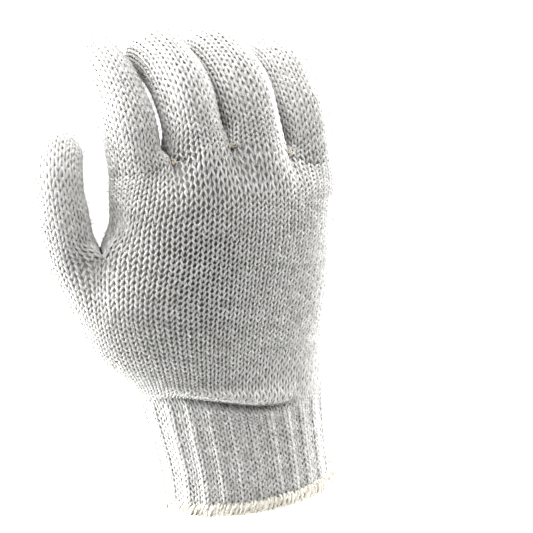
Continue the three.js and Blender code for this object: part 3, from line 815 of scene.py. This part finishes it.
# Tip knots: a trefoil of thread past each tip, in mm
TIE_STEPS, TIE_RADIUS, TIE_SHADE = 60, 0.5, 0.3
TIE_AHEAD, TIE_TALL = 2.3, 1.3
TIE_WIDE, TIE_SWING = 1.1, 0.5
for digit in [thumb, *fingers]:
    end, ahead = digit.centre[-1], digit.ahead[-1]
    side = unit(np.cross(ahead, digit.side))
    s = np.linspace(0, 2 * math.pi, TIE_STEPS, endpoint=False)
    reach = TIE_WIDE + TIE_SWING * np.cos(3 * s)
    line = end + ahead * (TIE_AHEAD + TIE_TALL * np.sin(3 * s))[:, None]
    line = line + digit.side * (reach * np.cos(2 * s))[:, None] + side * (reach * np.sin(2 * s))[:, None]
    strands = Strands()
    out = np.tile(ahead, (TIE_STEPS, 1)) + NUDGE
    strands.tube(line, out, TIE_RADIUS, depth=np.ones(TIE_STEPS) * TIE_SHADE)
    place(strands, digit.name + "_tie", digit.name + "_knot", "knots", brown)

# Ends of the joining yarn at the forks between the fingers: small random tangles, in mm
FORK_ENDS, END_STEPS, END_RADIUS = 2, 40, 0.28
END_OFF, END_SPREAD, END_SIZE, END_DEPTH = np.array([0, -0.3, 0.3]), 0.8, 0.9, 0.7
for k, fork in enumerate(crotches):
    strands = Strands()
    s = np.linspace(0, 2 * math.pi, END_STEPS, endpoint=False)[:, None]
    for _ in range(FORK_ENDS):
        middle = fork[0] + END_OFF + rng.normal(0, END_SPREAD, 3)
        a, b, c = unit(rng.normal(0, 1, (3, 3)))
        line = middle + END_SIZE * (a * np.sin(s) + b * np.sin(2 * s + 1) + END_DEPTH * c * np.cos(3 * s))
        out = np.tile(c, (END_STEPS, 1)) + NUDGE
        strands.tube(line, out, END_RADIUS, depth=np.zeros(END_STEPS))
    place(strands, f"fork_ends_{k + 1}", "hand", "knots", tan)

# Floor, in metres
FLOOR_SIZE, FLOOR_DROP = 8, 0.3
bpy.ops.mesh.primitive_plane_add(size=FLOOR_SIZE, location=(0, 0, -FLOOR_DROP))
floor = bpy.context.object
floor.name = "floor"
floor_mat = principled("pale_floor", (0.8, 0.8, 0.8), rough=0.9, sheen=0)[0]
floor.data.materials.append(floor_mat)

# Camera. It looks at a point right of the target, so that the glove stands left in the picture, as in the
# photo. Lengths are in metres, but for the pixel and the sensor, which are in mm.
AZIMUTH, ELEVATION, ROLL = (math.radians(a) for a in (-25, 16.5, 3.5))
DISTANCE, AIM_RIGHT = 1.1, 0.015
MM_PER_PIXEL, PICTURE_PIXELS, SENSOR = 0.42, 533, 36
TARGET = np.array([0, 0, 0.1])
right = np.array([math.cos(AZIMUTH), math.sin(AZIMUTH), 0])
level = np.array([-math.sin(AZIMUTH), math.cos(AZIMUTH), 0])
forward = level * math.cos(ELEVATION) - np.array([0, 0, math.sin(ELEVATION)])
up = np.cross(right, forward)
image_right = right * math.cos(ROLL) - up * math.sin(ROLL)
image_up = right * math.sin(ROLL) + up * math.cos(ROLL)
aim = TARGET + image_right * AIM_RIGHT
camera = bpy.data.objects.new("camera", bpy.data.cameras.new("camera"))
bpy.context.scene.collection.objects.link(camera)
turned = Matrix([[*v] for v in zip(image_right, image_up, -forward)]).to_4x4()
camera.matrix_world = Matrix.Translation(Vector(aim - forward * DISTANCE)) @ turned
camera.data.sensor_width = SENSOR
camera.data.lens = SENSOR * DISTANCE / MM / (PICTURE_PIXELS * MM_PER_PIXEL)
camera.data.clip_start = 0.05
bpy.context.scene.camera = camera

# Lights: a pale world, four soft boxes beside the glove and a broad overhead light
world = bpy.data.worlds.new("world")
bpy.context.scene.world = world
world.use_nodes = True
world.node_tree.nodes["Background"].inputs["Color"].default_value = (1, 1, 1, 1)
world.node_tree.nodes["Background"].inputs["Strength"].default_value = 0.1


def softbox(name, where, size, power):
    """A rectangular light that faces the target. Its size is in metres and its power in watts."""
    data = bpy.data.lights.new(name, "AREA")
    data.shape = "RECTANGLE"
    data.size, data.size_y = size
    data.energy = power
    obj = bpy.data.objects.new(name, data)
    bpy.context.scene.collection.objects.link(obj)
    obj.location = where
    obj.rotation_euler = (Vector(TARGET) - Vector(where)).to_track_quat("-Z", "Y").to_euler()


def beside(across, ahead, height):
    """A place across the picture, behind the glove and above its foot, in metres."""
    return tuple(right * across + level * ahead + np.array([0, 0, height]))


softbox("left_box", beside(-0.87, -0.23, 0.18), (0.25, 0.6), 4.8)
softbox("high_left_box", beside(-0.69, 0.0, 0.68), (0.25, 0.6), 6)
softbox("low_left_box", beside(-0.9, 0.07, 0.12), (0.2, 0.5), 11)
softbox("right_box", beside(0.81, 0.38, 0.18), (0.25, 0.6), 15)
OVERHEAD = Vector(beside(0.0, -0.25, 1.0))
overhead = bpy.data.lights.new("overhead", "SUN")
overhead.energy = 3.8
overhead.angle = math.radians(70)
lamp = bpy.data.objects.new("overhead", overhead)
bpy.context.scene.collection.objects.link(lamp)
lamp.rotation_euler = (-OVERHEAD).to_track_quat("-Z", "Y").to_euler()

bpy.context.scene.view_settings.view_transform = "Standard"
bpy.context.scene.view_settings.gamma = 0.65
